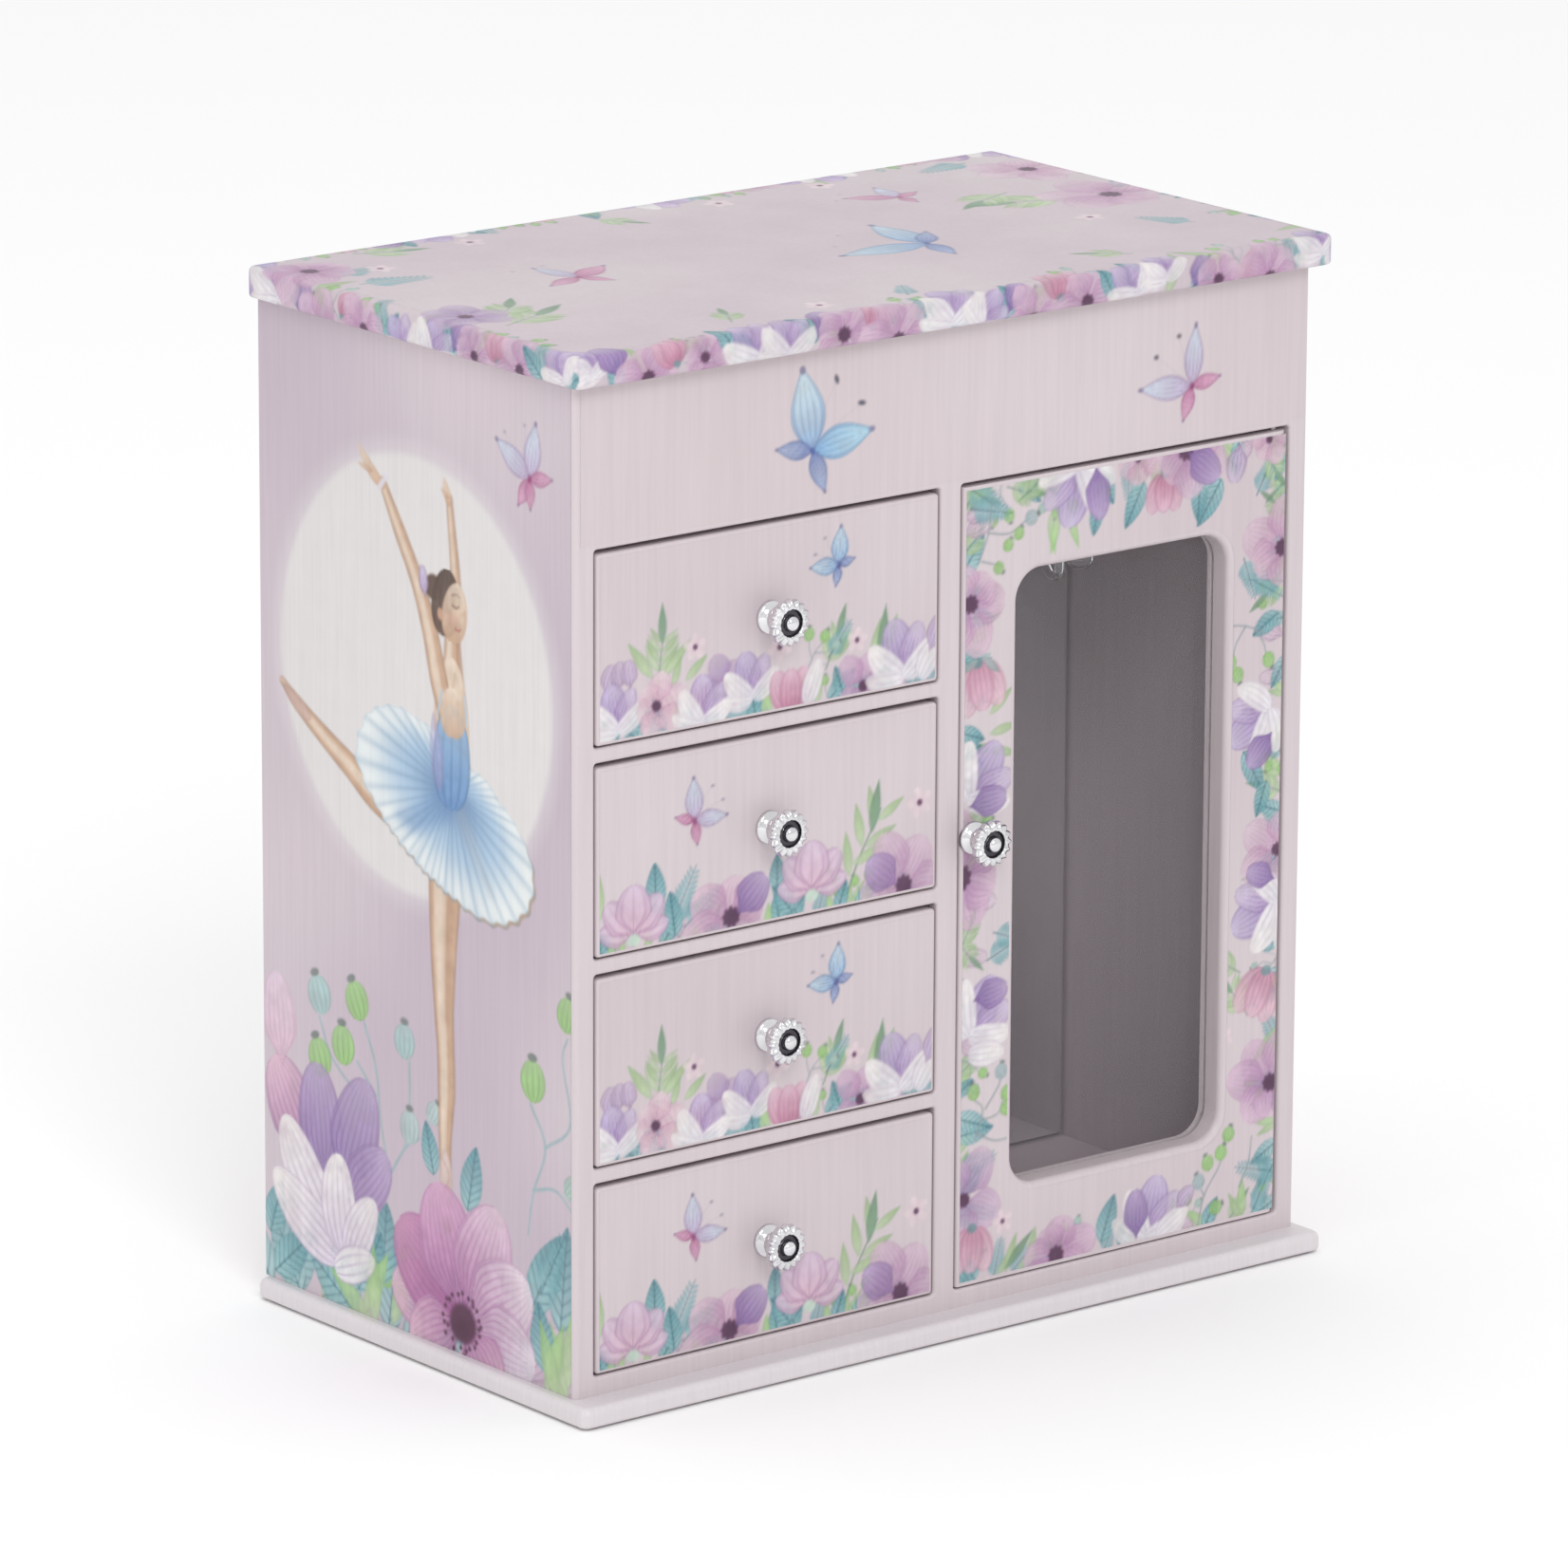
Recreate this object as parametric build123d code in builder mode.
from build123d import *
import math
import os

os.makedirs("parts", exist_ok=True)

# Jewellery box with four drawers, a glazed necklace door, a hinged lid and a dancing figure.
# Millimetres. X runs right, Y runs back, +Z is up. The origin is on the table, under the middle
# of the body.

# Body
body_w = 236.0
body_d = 130.0
felt_t = 0.6
plate_top = 5.8
body_top = 262.1
board_t = 5.0
front_t = 6.0
back_t = 4.0
front_y = -body_d / 2
back_y = body_d / 2
frame_back_y = front_y + front_t
inner_back_y = back_y - back_t
inner_x = body_w / 2 - board_t

# Base plate and lid
base_side = 3.2
base_front = 8.0
lid_z = 262.3
lid_t = 8.0
lid_side = 3.3
lid_front = 5.3
lid_back = 0.8

# Openings in the front
side_stile = 6.0
centre_stile = 6.7
open_w = (body_w - 2 * side_stile - centre_stile) / 2
open_bottom = 10.6
open_h = 49.7
open_pitch = 53.45
open_top = open_bottom + 3 * open_pitch + open_h
open_r = 1.0
drawer_x = -body_w / 2 + side_stile + open_w / 2
door_open_x = -drawer_x
edge_r = 0.9

# Boards inside
divider_t = 4.8
shelf_t = open_pitch - open_h
tray_top = open_top + 4.0
lining_t = 0.8

# Drawers
front_gap = 0.6
front_gap_bottom = 0.5
front_gap_top = 1.2
drawer_wall = 3.0
drawer_bottom = 2.5
drawer_side_gap = 1.6
drawer_lift = 0.4
drawer_wall_h = 38.0
drawer_back_y = 54.0
pad_t = 2.0

# Knobs
knob_r = 6.1
knob_len = 10.0
stud_r = 1.5
stud_depth = 6.0
screw_head_r = 3.0
screw_head_t = 1.7
flutes = 16
flute_r = 0.8
flute_out = 0.3
flute_start = 5.8
dome_w = 3.5
dome_h = 1.7
dome_r = (dome_w**2 + dome_h**2) / (2 * dome_h)

# Door
door_gap = 0.6
pivot_gap = 0.5
pivot_r = 1.0
pivot_clear = 0.05
pivot_in_door = 6.0
pivot_in_frame = 4.0
door_x0 = door_open_x - open_w / 2 + door_gap
pivot_x = door_open_x + open_w / 2 - pivot_gap - front_t / 2
pivot_y = front_y + front_t / 2
door_z0 = open_bottom + door_gap
door_z1 = open_top - 1.0
door_knob_x = 7.8
door_knob_z = 129.0
window_w = 70.0
window_h = 161.0
window_x = 57.0
window_z = 115.0
window_r = 8.0
pane_t = 1.2
pane_margin = 3.0
retainer_t = 2.4
retainer_margin = 6.0
latch_z = 115.0
catch_w = 6.0
catch_h = 16.0
catch_t = 0.6
magnet_w = 6.0
magnet_h = 12.0
magnet_gap = 0.3
magnet_back = 6.0
rim_r = 1.8

# Necklace compartment
mirror_y = 22.0
mirror_t = 1.5
backing_t = 3.0
carousel_x = 57.3
carousel_y = -18.0
carousel_arms = 8
carousel_r = 22.4
arm_r = 1.2
bracket_r = 8.0
bracket_t = 2.5
stem_r = 1.5
flange_r = 2.6
flange_t = 2.0
flange_rise = 4.0
hub_r = 6.0
hub_h = 9.0
hub_rise = 6.3
hook_z = 183.8

# Movement: the barrel turns about Y, the cylinder stands upright above it
spin_x = 57.3
spin_y = 45.0
barrel_z = 171.0
barrel_r = 12.6
barrel_y0 = 50.0
barrel_y1 = 58.0
bedplate_y = 58.5
crown_teeth = 48
crown_r = 12.0
pinion_teeth = 16
pinion_r = 4.0
shaft_r = 1.25
run_gap = 0.05
cylinder_r = 6.5
cylinder_z0 = barrel_z + 15.6
cylinder_h = 21.0
pin_rows = 18
wheel_teeth = 24
wheel_r = 5.0
wheel_z = barrel_z + 40.0
worm_y = spin_y + wheel_r + 1.9
arbor_r = 2.0

bush_r = 4.0
bush_flange_r = 6.0
bush_flange_t = 0.6
stop_x = spin_x + 14.0
stop_y = worm_y
stop_r = 1.0
stop_z0 = wheel_z + 4.6
stop_z1 = 262.0
fly_r = 4.0

# Top tray
partition_x = -12.0
partition_t = 3.0
partition_h = 22.0
roll_count = 9
roll_w = 12.0
roll_h = 12.0
roll_pitch = 13.0
roll_y0 = -52.5

# Comb
comb_y = 45.4
comb_t = 0.8
comb_x = spin_x - 24

# Dancer
table_z = tray_top + lining_t + 0.4
table_t = 1.8
table_r = 10.0
spring_h = 4.0
figure_z = table_z + table_t + spring_h
dancer_arm_r = 0.5
dancer_leg_r = 0.75
dancer_head_r = 1.75
bun_r = 0.85

# Lid
lid_corner_r = 2.4
lid_top_r = 1.5
lid_low_r = 1.0
lid_mirror_w = 149.0
lid_mirror_d = 91.0
lid_mirror_sink = 0.2

# Lid hinges
hinge_y = 67.6
knuckle_r = 1.7
hinge_pin_r = 0.8
hinge_w = 26.0
hinge_xs = (-75.0, 75.0)
leaf_t = 0.8
leaf_h = 5.6
leaf_clear = 0.2
screw_dx = 8.5
cab_screw_z = lid_z - 5.0
lid_screw_z = lid_z + 4.2
pilot_r = 0.8
pilot_depth = 2.6


def save(piece, label):
    piece.part.label = label
    export_step(piece.part, f"parts/{label}.step")


def facing(y, x=0.0, z=0.0):
    """A plane whose normal points to the front, with local X right and local Y up."""
    return Plane(origin=(x, y, z), x_dir=(1, 0, 0), z_dir=(0, -1, 0))


def board(x, y, z):
    """A flat board between pairs of X, Y and Z limits."""
    with BuildPart() as panel:
        with BuildSketch(Plane.XY.offset(z[0])):
            with Locations(((x[0] + x[1]) / 2, (y[0] + y[1]) / 2)):
                Rectangle(x[1] - x[0], y[1] - y[0])
        extrude(amount=z[1] - z[0])
    return panel


def drawer_floor(k):
    """Height of the bottom of opening k, counted from the top drawer, 1, to the lowest, 4."""
    return open_bottom + (4 - k) * open_pitch


def bore(x, y, z, radius, depth, plane_dir):
    """Cuts a round hole into the part being built, from a point along plane_dir."""
    with BuildSketch(Plane(origin=(x, y, z), z_dir=plane_dir)) as hole:
        Circle(radius)
    extrude(hole.sketch, amount=depth, mode=Mode.SUBTRACT)


# ---------------------------------------------------------------- cabinet boards
def base():
    felt = board(
        (-body_w / 2, body_w / 2), (front_y - base_front + 2, back_y - 1), (0, felt_t)
    )
    save(felt, "base_felt")
    with BuildPart() as plate:
        with BuildSketch(Plane.XY.offset(felt_t)):
            with Locations((0, -base_front / 2)):
                RectangleRounded(body_w + 2 * base_side, body_d + base_front, 2.4)
        extrude(amount=plate_top - felt_t)
        fillet(plate.faces().sort_by(Axis.Z)[-1].edges(), 2.0)
        fillet(plate.faces().sort_by(Axis.Z)[0].edges(), 1.0)
    save(plate, "base_plate")


def carcass():
    for side, name in ((-1, "side_panel_left"), (1, "side_panel_right")):
        x = sorted((side * inner_x, side * body_w / 2))
        save(board(x, (frame_back_y, back_y), (plate_top, body_top)), name)
    with BuildPart() as back:
        with BuildSketch(facing(back_y)):
            with Locations((0, (plate_top + body_top) / 2)):
                Rectangle(2 * inner_x, body_top - plate_top)
        extrude(amount=back_t)
        bore(spin_x, inner_back_y, barrel_z, arbor_r + 1.0, back_t, (0, 1, 0))
        hinge_holes(back_y, cab_screw_z)
    save(back, "back_panel")
    floor = board((-inner_x, inner_x), (frame_back_y, inner_back_y), (plate_top, open_bottom))
    save(floor, "floor_board")
    half = divider_t / 2
    save(board((-half, half), (frame_back_y, inner_back_y), (open_bottom, open_top)), "centre_divider")
    with BuildPart() as shelves:
        for k in (1, 2, 3):
            top = drawer_floor(k)
            with BuildSketch(Plane.XY.offset(top - shelf_t)):
                with Locations(((-inner_x - half) / 2, (frame_back_y + inner_back_y) / 2)):
                    Rectangle(inner_x - half, inner_back_y - frame_back_y)
            extrude(amount=shelf_t)
    save(shelves, "drawer_shelves")


def front_frame():
    with BuildPart() as frame:
        with BuildSketch(facing(frame_back_y)):
            with Locations((0, (plate_top + body_top) / 2)):
                Rectangle(body_w, body_top - plate_top)
            for k in (1, 2, 3, 4):
                with Locations((drawer_x, drawer_floor(k) + open_h / 2)):
                    RectangleRounded(open_w, open_h, open_r, mode=Mode.SUBTRACT)
            with Locations((door_open_x, (open_bottom + open_top) / 2)):
                RectangleRounded(open_w, open_top - open_bottom, open_r, mode=Mode.SUBTRACT)
        extrude(amount=front_t)
        face = frame.faces().sort_by(Axis.Y)[0]
        corners = [e for e in face.outer_wire().edges() if abs(e.tangent_at(0).Z) > 0.9]
        fillet(corners, 1.5)
        face = frame.faces().filter_by(Axis.Y).sort_by(Axis.Y)[0]
        fillet([e for wire in face.inner_wires() for e in wire.edges()], edge_r)
        bore(pivot_x, pivot_y, open_bottom, pivot_r, pivot_in_frame, (0, 0, -1))
        bore(pivot_x, pivot_y, open_top, pivot_r, pivot_in_frame, (0, 0, 1))
    save(frame, "front_frame")


def tray():
    with BuildPart() as floor:
        with BuildSketch(Plane.XY.offset(open_top)):
            with Locations((0, (frame_back_y + inner_back_y) / 2)):
                Rectangle(2 * inner_x, inner_back_y - frame_back_y)
            with Locations((spin_x, spin_y)):
                Circle(bush_r, mode=Mode.SUBTRACT)
            with Locations((stop_x, stop_y)):
                Circle(stop_r + 0.3, mode=Mode.SUBTRACT)
        extrude(amount=tray_top - open_top)
    save(floor, "tray_floor")
    with BuildPart() as lining:
        with BuildSketch(Plane.XY.offset(tray_top)):
            with Locations((0, (frame_back_y + inner_back_y) / 2)):
                Rectangle(2 * inner_x, inner_back_y - frame_back_y)
            with Locations((spin_x, spin_y)):
                Circle(bush_flange_r + 0.3, mode=Mode.SUBTRACT)
            with Locations((stop_x, stop_y)):
                Circle(stop_r + 0.5, mode=Mode.SUBTRACT)
        extrude(amount=lining_t)
    save(lining, "tray_lining")
    half = partition_t / 2
    z = (tray_top + lining_t, tray_top + lining_t + partition_h)
    x = (partition_x - half, partition_x + half)
    save(board(x, (frame_back_y, inner_back_y), z), "tray_partition")
    with BuildPart() as rolls:
        for k in range(roll_count):
            y = roll_y0 + k * roll_pitch
            with BuildSketch(Plane.YZ.offset(-inner_x + 1.0)):
                with Locations((y, tray_top + lining_t + roll_h / 2)):
                    RectangleRounded(roll_w, roll_h, roll_w / 2 - 0.6)
            extrude(amount=inner_x + partition_x - half - 2.0)
    save(rolls, "ring_rolls")


# ---------------------------------------------------------------- drawers
def knob(x, z):
    """A chrome knob with a fluted rim, a sunk ring and a domed middle, and its fixing screw."""
    centre = Vector(x, front_y, z)
    outward = Axis((x, front_y, z), (0, -1, 0))
    with BuildPart() as piece:
        with BuildSketch(Plane(origin=centre, x_dir=(1, 0, 0), z_dir=(0, 0, -1))):
            with BuildLine():
                foot = Polyline((0, 0), (3.7, 0), (3.7, 0.7), (2.7, 2.2))
                neck = TangentArc(foot @ 1, (3.4, 5.4), tangent=(0.0, 1.0))
                cup = Polyline(neck @ 1, (knob_r, 7.0), (knob_r, 8.4), (5.4, 9.3), (4.5, 9.2))
                ring = Polyline(cup @ 1, (4.1, knob_len - dome_h), (dome_w, knob_len - dome_h))
                bend = 0.5 * math.asin(dome_w / dome_r)
                crown = (dome_r * math.sin(bend), knob_len - dome_r * (1 - math.cos(bend)))
                ThreePointArc(ring @ 1, crown, (0, knob_len))
                Line((0, knob_len), (0, 0))
            make_face()
        revolve(axis=outward)
        with BuildSketch(facing(front_y - flute_start, x, z)):
            with PolarLocations(knob_r + flute_out, flutes, start_angle=180 / flutes):
                Circle(flute_r)
        extrude(amount=knob_len, mode=Mode.SUBTRACT)
        with BuildSketch(facing(front_y, x, z)):
            Circle(stud_r + 0.03)
        extrude(amount=stud_depth, mode=Mode.SUBTRACT)
        with BuildSketch(facing(frame_back_y, x, z)):
            Circle(stud_r)
        extrude(amount=front_t + stud_depth - 0.3)
        with BuildSketch(facing(frame_back_y + screw_head_t, x, z)):
            Circle(screw_head_r)
        extrude(amount=screw_head_t)
        slot = Plane(origin=(x, frame_back_y + screw_head_t, z), z_dir=(0, -1, 0))
        with BuildSketch(slot):
            Rectangle(0.8, 2 * screw_head_r + 1)
        extrude(amount=0.7, mode=Mode.SUBTRACT)
    return piece


def drawer(k):
    z0 = drawer_floor(k) + front_gap_bottom
    z1 = drawer_floor(k) + open_h - front_gap_top
    knob_z = (z0 + z1) / 2 + 0.6
    with BuildPart() as front:
        with BuildSketch(facing(frame_back_y)):
            with Locations((drawer_x, (z0 + z1) / 2)):
                RectangleRounded(open_w - 2 * front_gap, z1 - z0, open_r)
            with Locations((drawer_x, knob_z)):
                Circle(stud_r, mode=Mode.SUBTRACT)
        extrude(amount=front_t)
        face = front.faces().filter_by(Axis.Y).sort_by(Axis.Y)[0]
        fillet(face.outer_wire().edges(), edge_r)
    save(front, f"drawer_{k}_front")
    half = open_w / 2 - drawer_side_gap
    bottom = drawer_floor(k) + drawer_lift
    middle = (frame_back_y + drawer_back_y) / 2
    length = drawer_back_y - frame_back_y
    with BuildPart() as box:
        with BuildSketch(Plane.XY.offset(bottom)):
            with Locations((drawer_x, middle)):
                Rectangle(2 * half, length)
        extrude(amount=drawer_wall_h)
        with BuildSketch(Plane.XY.offset(bottom + drawer_bottom)):
            with Locations((drawer_x, middle - drawer_wall / 2)):
                Rectangle(2 * (half - drawer_wall), length - drawer_wall)
        extrude(amount=drawer_wall_h, mode=Mode.SUBTRACT)
    save(box, f"drawer_{k}_box")
    inner = half - drawer_wall
    x = (drawer_x - inner, drawer_x + inner)
    y = (frame_back_y, drawer_back_y - drawer_wall)
    low = bottom + drawer_bottom
    save(board(x, y, (low, low + pad_t)), f"drawer_{k}_lining")
    save(knob(drawer_x, knob_z), f"drawer_{k}_knob")


# ---------------------------------------------------------------- necklace door
def door():
    with BuildPart() as panel:
        with BuildSketch(Plane.XY.offset(door_z0)):
            with Locations(((door_x0 + pivot_x) / 2, pivot_y)):
                Rectangle(pivot_x - door_x0, front_t)
            with Locations((pivot_x, pivot_y)):
                Circle(front_t / 2)
        extrude(amount=door_z1 - door_z0)
        with BuildSketch(facing(frame_back_y)):
            with Locations((window_x, window_z)):
                RectangleRounded(window_w, window_h, window_r)
            with Locations((door_knob_x, door_knob_z)):
                Circle(stud_r)
        extrude(amount=front_t, mode=Mode.SUBTRACT)
        face = panel.faces().filter_by(Axis.Y).sort_by(Axis.Y)[0]
        rims = [wire for wire in face.inner_wires() if wire.length > 100]
        fillet(rims[0].edges(), rim_r)
        face = panel.faces().filter_by(Axis.Y).sort_by(Axis.Y)[0]
        fillet(face.outer_wire().edges().filter_by(Axis.Z).sort_by(Axis.X)[0], edge_r)
        hole = pivot_r + pivot_clear
        bore(pivot_x, pivot_y, door_z0, hole, pivot_in_door + 0.3, (0, 0, 1))
        bore(pivot_x, pivot_y, door_z1, hole, pivot_in_door + 0.3, (0, 0, -1))
    save(panel, "door_panel")
    with BuildPart() as pins:
        for z, way in ((open_bottom - pivot_in_frame, 1), (open_top + pivot_in_frame, -1)):
            with BuildSketch(Plane(origin=(pivot_x, pivot_y, z), z_dir=(0, 0, way))):
                Circle(pivot_r)
            extrude(amount=pivot_in_frame + 1.0 + pivot_in_door - 0.6)
    save(pins, "door_pivot_pins")
    with BuildPart() as pane:
        with BuildSketch(facing(frame_back_y + pane_t)):
            with Locations((window_x, window_z)):
                RectangleRounded(window_w + 2 * pane_margin, window_h + 2 * pane_margin, window_r)
        extrude(amount=pane_t)
    save(pane, "door_window")
    with BuildPart() as retainer:
        with BuildSketch(facing(frame_back_y + retainer_t)):
            with Locations((window_x, window_z)):
                w = window_w + 2 * (pane_margin + retainer_margin - 3.0)
                h = window_h + 2 * (pane_margin + retainer_margin - 3.0)
                RectangleRounded(w, h, window_r)
                RectangleRounded(window_w, window_h, window_r, mode=Mode.SUBTRACT)
        extrude(amount=retainer_t)
        with BuildSketch(facing(frame_back_y + pane_t)):
            with Locations((window_x, window_z)):
                RectangleRounded(window_w + 2 * pane_margin, window_h + 2 * pane_margin, window_r)
        extrude(amount=pane_t, mode=Mode.SUBTRACT)
    save(retainer, "window_retainer")
    save(knob(door_knob_x, door_knob_z), "door_knob")
    x = (door_x0 + 0.65, door_x0 + 0.65 + catch_w)
    z = (latch_z - catch_h / 2, latch_z + catch_h / 2)
    save(board(x, (frame_back_y, frame_back_y + catch_t), z), "catch_plate")
    x = (divider_t / 2, divider_t / 2 + magnet_w)
    y = (frame_back_y + catch_t + magnet_gap, frame_back_y + magnet_back)
    z = (latch_z - magnet_h / 2, latch_z + magnet_h / 2)
    save(board(x, y, z), "door_magnet")


def compartment():
    half = divider_t / 2
    x = (half + 1.0, inner_x - 1.0)
    save(board(x, (mirror_y, mirror_y + mirror_t), (open_bottom + 1, open_top - 1)), "compartment_mirror")
    y = (mirror_y + mirror_t, mirror_y + mirror_t + backing_t)
    save(board((half, inner_x), y, (open_bottom, open_top)), "mirror_backing")


def carousel():
    with BuildPart() as bracket:
        bracket_z = open_top - bracket_t
        flange_z = hook_z + flange_rise
        with BuildSketch(Plane.XY.offset(bracket_z)):
            with Locations((carousel_x, carousel_y)):
                Circle(bracket_r)
        extrude(amount=bracket_t)
        with BuildSketch(Plane.XY.offset(flange_z)):
            with Locations((carousel_x, carousel_y)):
                Circle(stem_r)
        extrude(amount=bracket_z - flange_z)
        with BuildSketch(Plane.XY.offset(flange_z)):
            with Locations((carousel_x, carousel_y)):
                Circle(flange_r)
        extrude(amount=flange_t)
    save(bracket, "carousel_bracket")
    with BuildPart() as hub:
        with BuildSketch(Plane.XY.offset(hook_z + hub_rise)):
            with Locations((carousel_x, carousel_y)):
                Circle(hub_r)
                Circle(stem_r + run_gap, mode=Mode.SUBTRACT)
        extrude(amount=hub_h)
        for k in range(carousel_arms):
            angle = k * 360 / carousel_arms - 90
            middle = (carousel_x, carousel_y, hook_z)
            radial = Plane(origin=middle, x_dir=polar(angle), z_dir=polar(angle - 90))
            with BuildLine(radial) as path:
                tip_r = carousel_r - arm_r
                bends = (4.0, 2.0, 1.8)
                FilletPolyline((5.0, 9.5), (14.0, 4.5), (17.6, 0.0), (tip_r, 0.0), (tip_r, 6.0), radius=bends)
            with BuildSketch(Plane(origin=path.line @ 0, z_dir=path.line % 0)):
                Circle(arm_r)
            sweep(path=path.line)
    save(hub, "necklace_carousel")


def polar(angle):
    """A level unit vector at an angle in degrees from +X."""
    return (math.cos(math.radians(angle)), math.sin(math.radians(angle)), 0)


# ---------------------------------------------------------------- musical movement
def movement():
    ear_half = 5.0
    with BuildPart() as plate:
        with BuildSketch(facing(inner_back_y)):
            with Locations((spin_x - 3, barrel_z + 15.5)):
                RectangleRounded(50, 63, 3)
            with Locations((spin_x, barrel_z)):
                Circle(arbor_r + run_gap, mode=Mode.SUBTRACT)
        extrude(amount=inner_back_y - bedplate_y)
        for z, t in ((barrel_z + 14.0, 1.2), (barrel_z + 43.5, 1.5)):
            with BuildSketch(Plane.XY.offset(z)):
                with Locations((spin_x, (40 + bedplate_y) / 2)):
                    Rectangle(2 * ear_half, bedplate_y - 40)
                with Locations((spin_x, spin_y)):
                    Circle(shaft_r + run_gap, mode=Mode.SUBTRACT)
            extrude(amount=t)
        with BuildSketch(Plane.XY.offset(cylinder_z0 - 1)):
            with Locations((comb_x, (comb_y + bedplate_y) / 2)):
                Rectangle(8, bedplate_y - comb_y)
        extrude(amount=cylinder_h + 2)
    save(plate, "movement_bedplate")
    with BuildPart() as comb:
        z_mid = cylinder_z0 + cylinder_h / 2
        with BuildSketch(facing(comb_y)):
            with Locations((spin_x - 21.5, z_mid)):
                Rectangle(13, cylinder_h + 2)
            for row in range(pin_rows):
                z = cylinder_z0 + (row + 0.5) * cylinder_h / pin_rows
                with Locations((spin_x - 11.4, z)):
                    Rectangle(7.4, 0.85)
        extrude(amount=comb_t)
    save(comb, "tuned_comb")
    with BuildPart() as bracket:
        x0 = spin_x + 9.0
        x1 = spin_x + 19.0
        for x in (x0, x1):
            with BuildSketch(Plane.YZ.offset(x)):
                with Locations(((worm_y - 3 + bedplate_y) / 2, wheel_z)):
                    Rectangle(bedplate_y - worm_y + 3, 6)
                with Locations((worm_y, wheel_z)):
                    Circle(0.7 + run_gap, mode=Mode.SUBTRACT)
            extrude(amount=1.0)
    save(bracket, "governor_bracket")
    with BuildPart() as bush:
        with BuildSketch(Plane.XY.offset(open_top)):
            with Locations((spin_x, spin_y)):
                Circle(bush_r)
        extrude(amount=tray_top - open_top)
        with BuildSketch(Plane.XY.offset(tray_top)):
            with Locations((spin_x, spin_y)):
                Circle(bush_flange_r)
        extrude(amount=bush_flange_t)
        bore(spin_x, spin_y, open_top, shaft_r + run_gap, 10, (0, 0, 1))
    save(bush, "turntable_bush")


def teeth(plane, count, radius, width, length, phase, height):
    """Adds straight teeth standing on a circle, on a plane with its origin on the axis."""
    with BuildSketch(plane) as ring:
        with PolarLocations(radius, count, start_angle=phase):
            Rectangle(length, width)
    extrude(ring.sketch, amount=height)


def barrel():
    front = facing(barrel_y0, spin_x, barrel_z)
    with BuildPart() as drum:
        with BuildSketch(facing(barrel_y1, spin_x, barrel_z)):
            Circle(barrel_r)
        extrude(amount=barrel_y1 - barrel_y0)
        teeth(front, crown_teeth, crown_r - 0.2, 0.5, 1.6, 90 + 180 / crown_teeth, 1.4)
        with BuildSketch(facing(barrel_y1, spin_x, barrel_z)):
            Circle(arbor_r + run_gap)
        extrude(amount=barrel_y1 - barrel_y0, mode=Mode.SUBTRACT)
    save(drum, "spring_barrel")


def winder():
    with BuildPart() as key:
        with BuildSketch(facing(75, spin_x, barrel_z)):
            Circle(3.6)
        extrude(amount=8.0)
        with BuildSketch(Plane.XY.offset(barrel_z - 1.1)):
            with Locations((spin_x, 80.0)):
                RectangleRounded(25, 12, 5.4)
        extrude(amount=2.2)
        with BuildSketch(facing(73, spin_x, barrel_z)):
            Circle(arbor_r)
        extrude(amount=7.0, mode=Mode.SUBTRACT)
    save(key, "winding_key")
    with BuildPart() as arbor:
        with BuildSketch(facing(73, spin_x, barrel_z)):
            Circle(arbor_r)
        extrude(amount=73 - (barrel_y0 - 0.4))
        with BuildSketch(facing(barrel_y0 - 0.4, spin_x, barrel_z)):
            Circle(4.0)
        extrude(amount=1.0)
    save(arbor, "winding_arbor")


def cylinder():
    with BuildPart() as drum:
        with BuildSketch(Plane.XY.offset(barrel_z + 9.6)):
            with Locations((spin_x, spin_y)):
                Circle(shaft_r)
        extrude(amount=table_z + table_t - barrel_z - 9.6)
        with BuildSketch(Plane.XY.offset(cylinder_z0)):
            with Locations((spin_x, spin_y)):
                Circle(cylinder_r)
        extrude(amount=cylinder_h)
        with BuildSketch(Plane.XY.offset(barrel_z + 10.9)):
            with Locations((spin_x, spin_y)):
                Circle(pinion_r - 0.8)
        extrude(amount=2.3)
        pinion_plane = Plane(origin=(spin_x, spin_y, barrel_z + 10.9))
        teeth(pinion_plane, pinion_teeth, pinion_r - 0.4, 0.6, 1.6, 90, 2.3)
        with BuildSketch(Plane.XY.offset(wheel_z - 1)):
            with Locations((spin_x, spin_y)):
                Circle(wheel_r - 0.4)
        extrude(amount=2.0)
        wheel_plane = Plane(origin=(spin_x, spin_y, wheel_z - 1))
        teeth(wheel_plane, wheel_teeth, wheel_r - 0.2, 0.5, 1.0, 90, 2.0)
        for row in range(pin_rows):
            z = cylinder_z0 + (row + 0.5) * cylinder_h / pin_rows
            for note in range(3):
                angle = 24 * row + 117 * note + 40 * (row % 3)
                out = polar(angle)
                start = (spin_x + 6 * out[0], spin_y + 6 * out[1], z)
                with BuildSketch(Plane(origin=start, z_dir=out)):
                    Circle(0.3)
                extrude(amount=1.2)
    save(drum, "music_cylinder")


def governor():
    with BuildPart() as piece:
        with BuildSketch(Plane.YZ.offset(spin_x - 4.0)):
            with Locations((worm_y, wheel_z)):
                Circle(0.7)
        extrude(amount=24.5)
        with BuildSketch(Plane.YZ.offset(spin_x - 3.2)):
            with Locations((worm_y, wheel_z)):
                Circle(1.2)
        extrude(amount=6.4)
        with BuildSketch(Plane.YZ.offset(spin_x + 11.5)):
            with Locations((worm_y, wheel_z)):
                Rectangle(2 * fly_r, 0.8)
        extrude(amount=5.5)
    save(piece, "governor")
    with BuildPart() as stop:
        with BuildSketch(Plane.XY.offset(stop_z0)):
            with Locations((stop_x, stop_y)):
                Circle(stop_r)
        extrude(amount=stop_z1 - stop_z0)
        fillet(stop.faces().sort_by(Axis.Z)[-1].edges(), 0.6)
    save(stop, "stop_wire")


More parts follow.
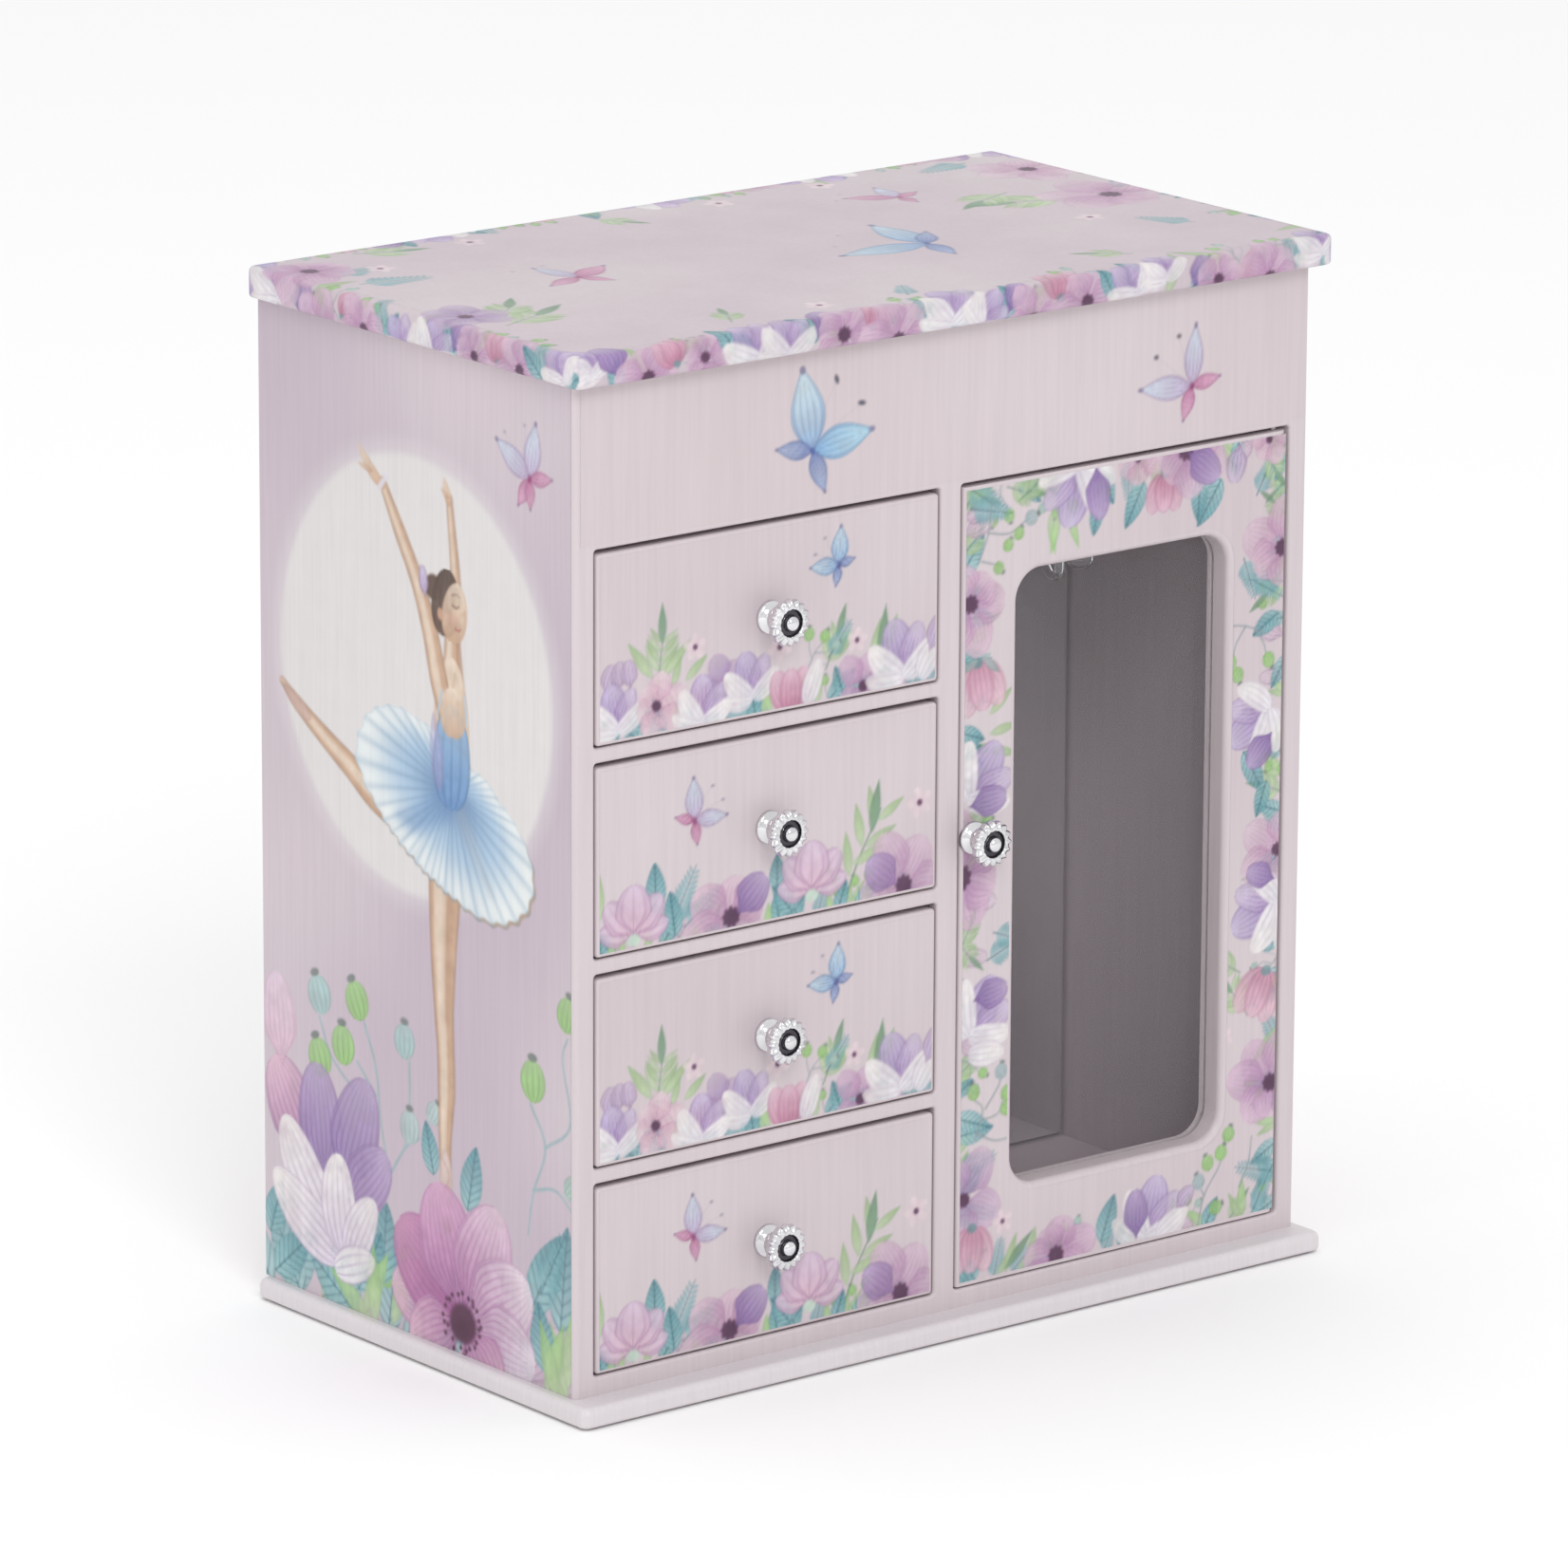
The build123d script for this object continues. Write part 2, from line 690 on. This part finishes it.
# ---------------------------------------------------------------- dancer
def dancer():
    with BuildPart() as table:
        with BuildSketch(Plane.XY.offset(table_z)):
            with Locations((spin_x, spin_y)):
                Circle(table_r)
                Circle(shaft_r, mode=Mode.SUBTRACT)
        extrude(amount=table_t)
        rim = table.faces().sort_by(Axis.Z)[-1].edges().sort_by(SortBy.LENGTH)[-1]
        fillet(rim, 0.8)
    save(table, "turntable")
    with BuildPart() as spring:
        with BuildSketch(Plane.XY.offset(table_z + table_t)):
            with Locations((spin_x, spin_y)):
                Circle(1.6)
                Circle(1.0, mode=Mode.SUBTRACT)
        extrude(amount=spring_h)
    save(spring, "dancer_spring")
    foot = Plane(origin=(spin_x, spin_y, figure_z))
    side = Plane(origin=(spin_x, spin_y, figure_z), x_dir=(1, 0, 0), z_dir=(0, -1, 0))
    with BuildPart() as figure:
        with BuildSketch(side):
            with BuildLine():
                leg = Polyline((0, 0), (0.9, 0), (0.7, 3), (0.8, 5), (1.2, 8), (1.6, 11.2))
                tutu = Polyline(leg @ 1, (8.4, 11.9), (8.5, 12.5), (1.6, 13.3))
                bodice = Polyline(tutu @ 1, (1.1, 14.6), (1.7, 17.4), (1.5, 18.8))
                neck = Polyline(bodice @ 1, (0.65, 19.5), (0.6, 20.6), (0, 20.6))
                Line(neck @ 1, leg @ 0)
            make_face()
        revolve(axis=Axis((spin_x, spin_y, figure_z), (0, 0, 1)))
        with Locations(foot.offset(22.0)):
            Sphere(dancer_head_r)
        with Locations(foot.offset(23.4).move(Location((0, 1.3, 0)))):
            Sphere(bun_r)
        for way in (-1, 1):
            elbow = (4.4 * way, -0.4, 21.6)
            wrist = (3.6 * way, -0.6, 25.2)
            limb([(1.3 * way, 0, 18.6), elbow, wrist, (0.9 * way, -0.8, 27.8)], dancer_arm_r)
        limb([(0.6, 0, 11.2), (4.0, -2.4, 8.0), (0.9, -1.0, 4.2)], dancer_leg_r)
    save(figure, "ballerina")


def limb(points, radius):
    """A round limb through points measured from the dancer's foot, with a ball at each joint."""
    places = [Vector(*p) + Vector(spin_x, spin_y, figure_z) for p in points]
    for a, b in zip(places, places[1:]):
        with BuildSketch(Plane(origin=a, z_dir=b - a)) as section:
            Circle(radius)
        extrude(section.sketch, amount=(b - a).length)
    for p in places:
        with Locations(p):
            Sphere(radius)


# ---------------------------------------------------------------- lid and hinges
def hinge_holes(y, z):
    """Pilot holes for the screws of both hinges, cut forwards from a back face."""
    for x in hinge_xs:
        for dx in (-screw_dx, screw_dx):
            bore(x + dx, y, z, pilot_r, pilot_depth, (0, -1, 0))


def lid():
    y0 = front_y - lid_front
    y1 = back_y + lid_back
    with BuildPart() as panel:
        with BuildSketch(Plane.XY.offset(lid_z)):
            with Locations((0, (y0 + y1) / 2)):
                RectangleRounded(body_w + 2 * lid_side, y1 - y0, lid_corner_r)
        extrude(amount=lid_t)
        fillet(panel.faces().sort_by(Axis.Z)[-1].edges(), lid_top_r)
        fillet(panel.faces().sort_by(Axis.Z)[0].edges(), lid_low_r)
        with BuildSketch(Plane.XY.offset(lid_z)):
            RectangleRounded(lid_mirror_w + 1, lid_mirror_d + 1, 3)
        extrude(amount=mirror_t + lid_mirror_sink, mode=Mode.SUBTRACT)
        hinge_holes(y1, lid_screw_z)
    save(panel, "lid_panel")
    with BuildPart() as mirror:
        with BuildSketch(Plane.XY.offset(lid_z + lid_mirror_sink)):
            RectangleRounded(lid_mirror_w, lid_mirror_d, 2.5)
        extrude(amount=mirror_t)
    save(mirror, "lid_mirror")


def knuckles(x, spans, radius):
    """Hinge knuckles round the lid's axis over spans measured from the hinge's middle."""
    for a, b in spans:
        with BuildSketch(Plane.YZ.offset(x + a)) as section:
            with Locations((hinge_y, lid_z)):
                Circle(radius)
        extrude(section.sketch, amount=b - a)


def block(x, y, z):
    """Adds a box between pairs of limits to the part being built."""
    with BuildSketch(Plane.XY.offset(z[0])) as section:
        with Locations(((x[0] + x[1]) / 2, (y[0] + y[1]) / 2)):
            Rectangle(x[1] - x[0], y[1] - y[0])
    extrude(section.sketch, amount=z[1] - z[0])


def hinges():
    half = hinge_w / 2
    inner = 5.0
    outer = 5.3
    ends = ((-half, -outer), (outer, half))
    middle = ((-inner, inner),)
    leaf_top = lid_z - knuckle_r - leaf_clear
    leaf_low = lid_z + knuckle_r + leaf_clear
    y_lid = back_y + lid_back
    with BuildPart() as fixed:
        for x in hinge_xs:
            block((x - half, x + half), (back_y, back_y + leaf_t), (leaf_top - leaf_h, leaf_top))
            for a, b in ends:
                block((x + a, x + b), (back_y, back_y + leaf_t + 0.7), (leaf_top - 0.6, lid_z - 0.4))
            knuckles(x, ends, knuckle_r)
        for x in hinge_xs:
            with BuildSketch(Plane.YZ.offset(x - half)):
                with Locations((hinge_y, lid_z)):
                    Circle(hinge_pin_r)
            extrude(amount=hinge_w, mode=Mode.SUBTRACT)
            for dx in (-screw_dx, screw_dx):
                bore(x + dx, back_y + leaf_t, cab_screw_z, pilot_r, leaf_t, (0, -1, 0))
    save(fixed, "hinge_fixed_leaves")
    with BuildPart() as moving:
        for x in hinge_xs:
            block((x - half, x + half), (y_lid, y_lid + leaf_t), (leaf_low, leaf_low + 4.4))
            block((x - inner, x + inner), (y_lid, y_lid + leaf_t), (lid_z + 0.3, leaf_low))
            knuckles(x, middle, knuckle_r)
        for x in hinge_xs:
            with BuildSketch(Plane.YZ.offset(x - half)):
                with Locations((hinge_y, lid_z)):
                    Circle(hinge_pin_r + run_gap)
            extrude(amount=hinge_w, mode=Mode.SUBTRACT)
            for dx in (-screw_dx, screw_dx):
                bore(x + dx, y_lid + leaf_t, lid_screw_z, pilot_r, leaf_t, (0, -1, 0))
    save(moving, "hinge_moving_leaves")
    with BuildPart() as pins:
        for x in hinge_xs:
            with BuildSketch(Plane.YZ.offset(x - half)):
                with Locations((hinge_y, lid_z)):
                    Circle(hinge_pin_r)
            extrude(amount=hinge_w)
    save(pins, "hinge_pins")


def screw(x, y, z, shank, depth, head, head_t):
    """A screw whose head stands behind y and whose shank runs forwards."""
    with BuildSketch(facing(y, x, z)) as shaft:
        Circle(shank)
    extrude(shaft.sketch, amount=depth)
    with BuildSketch(facing(y + head_t, x, z)) as cap:
        Circle(head)
    extrude(cap.sketch, amount=head_t)


def screws():
    y_lid = back_y + lid_back
    with BuildPart() as cabinet_screws:
        for x in hinge_xs:
            for dx in (-screw_dx, screw_dx):
                screw(x + dx, back_y + leaf_t, cab_screw_z, pilot_r, leaf_t + pilot_depth, 1.5, 0.6)
        for z in (4.0, 10.5, 17.0):
            with BuildSketch(facing(comb_y - comb_t, comb_x, cylinder_z0 + z)):
                Circle(1.8)
            extrude(amount=1.2)
    save(cabinet_screws, "cabinet_screws")
    with BuildPart() as lid_screws:
        for x in hinge_xs:
            for dx in (-screw_dx, screw_dx):
                screw(x + dx, y_lid + leaf_t, lid_screw_z, pilot_r, leaf_t + pilot_depth, 1.3, 0.6)
    save(lid_screws, "lid_screws")


base()
carcass()
front_frame()
tray()
for number in (1, 2, 3, 4):
    drawer(number)
door()
compartment()
carousel()
movement()
barrel()
winder()
cylinder()
governor()
dancer()
lid()
hinges()
screws()
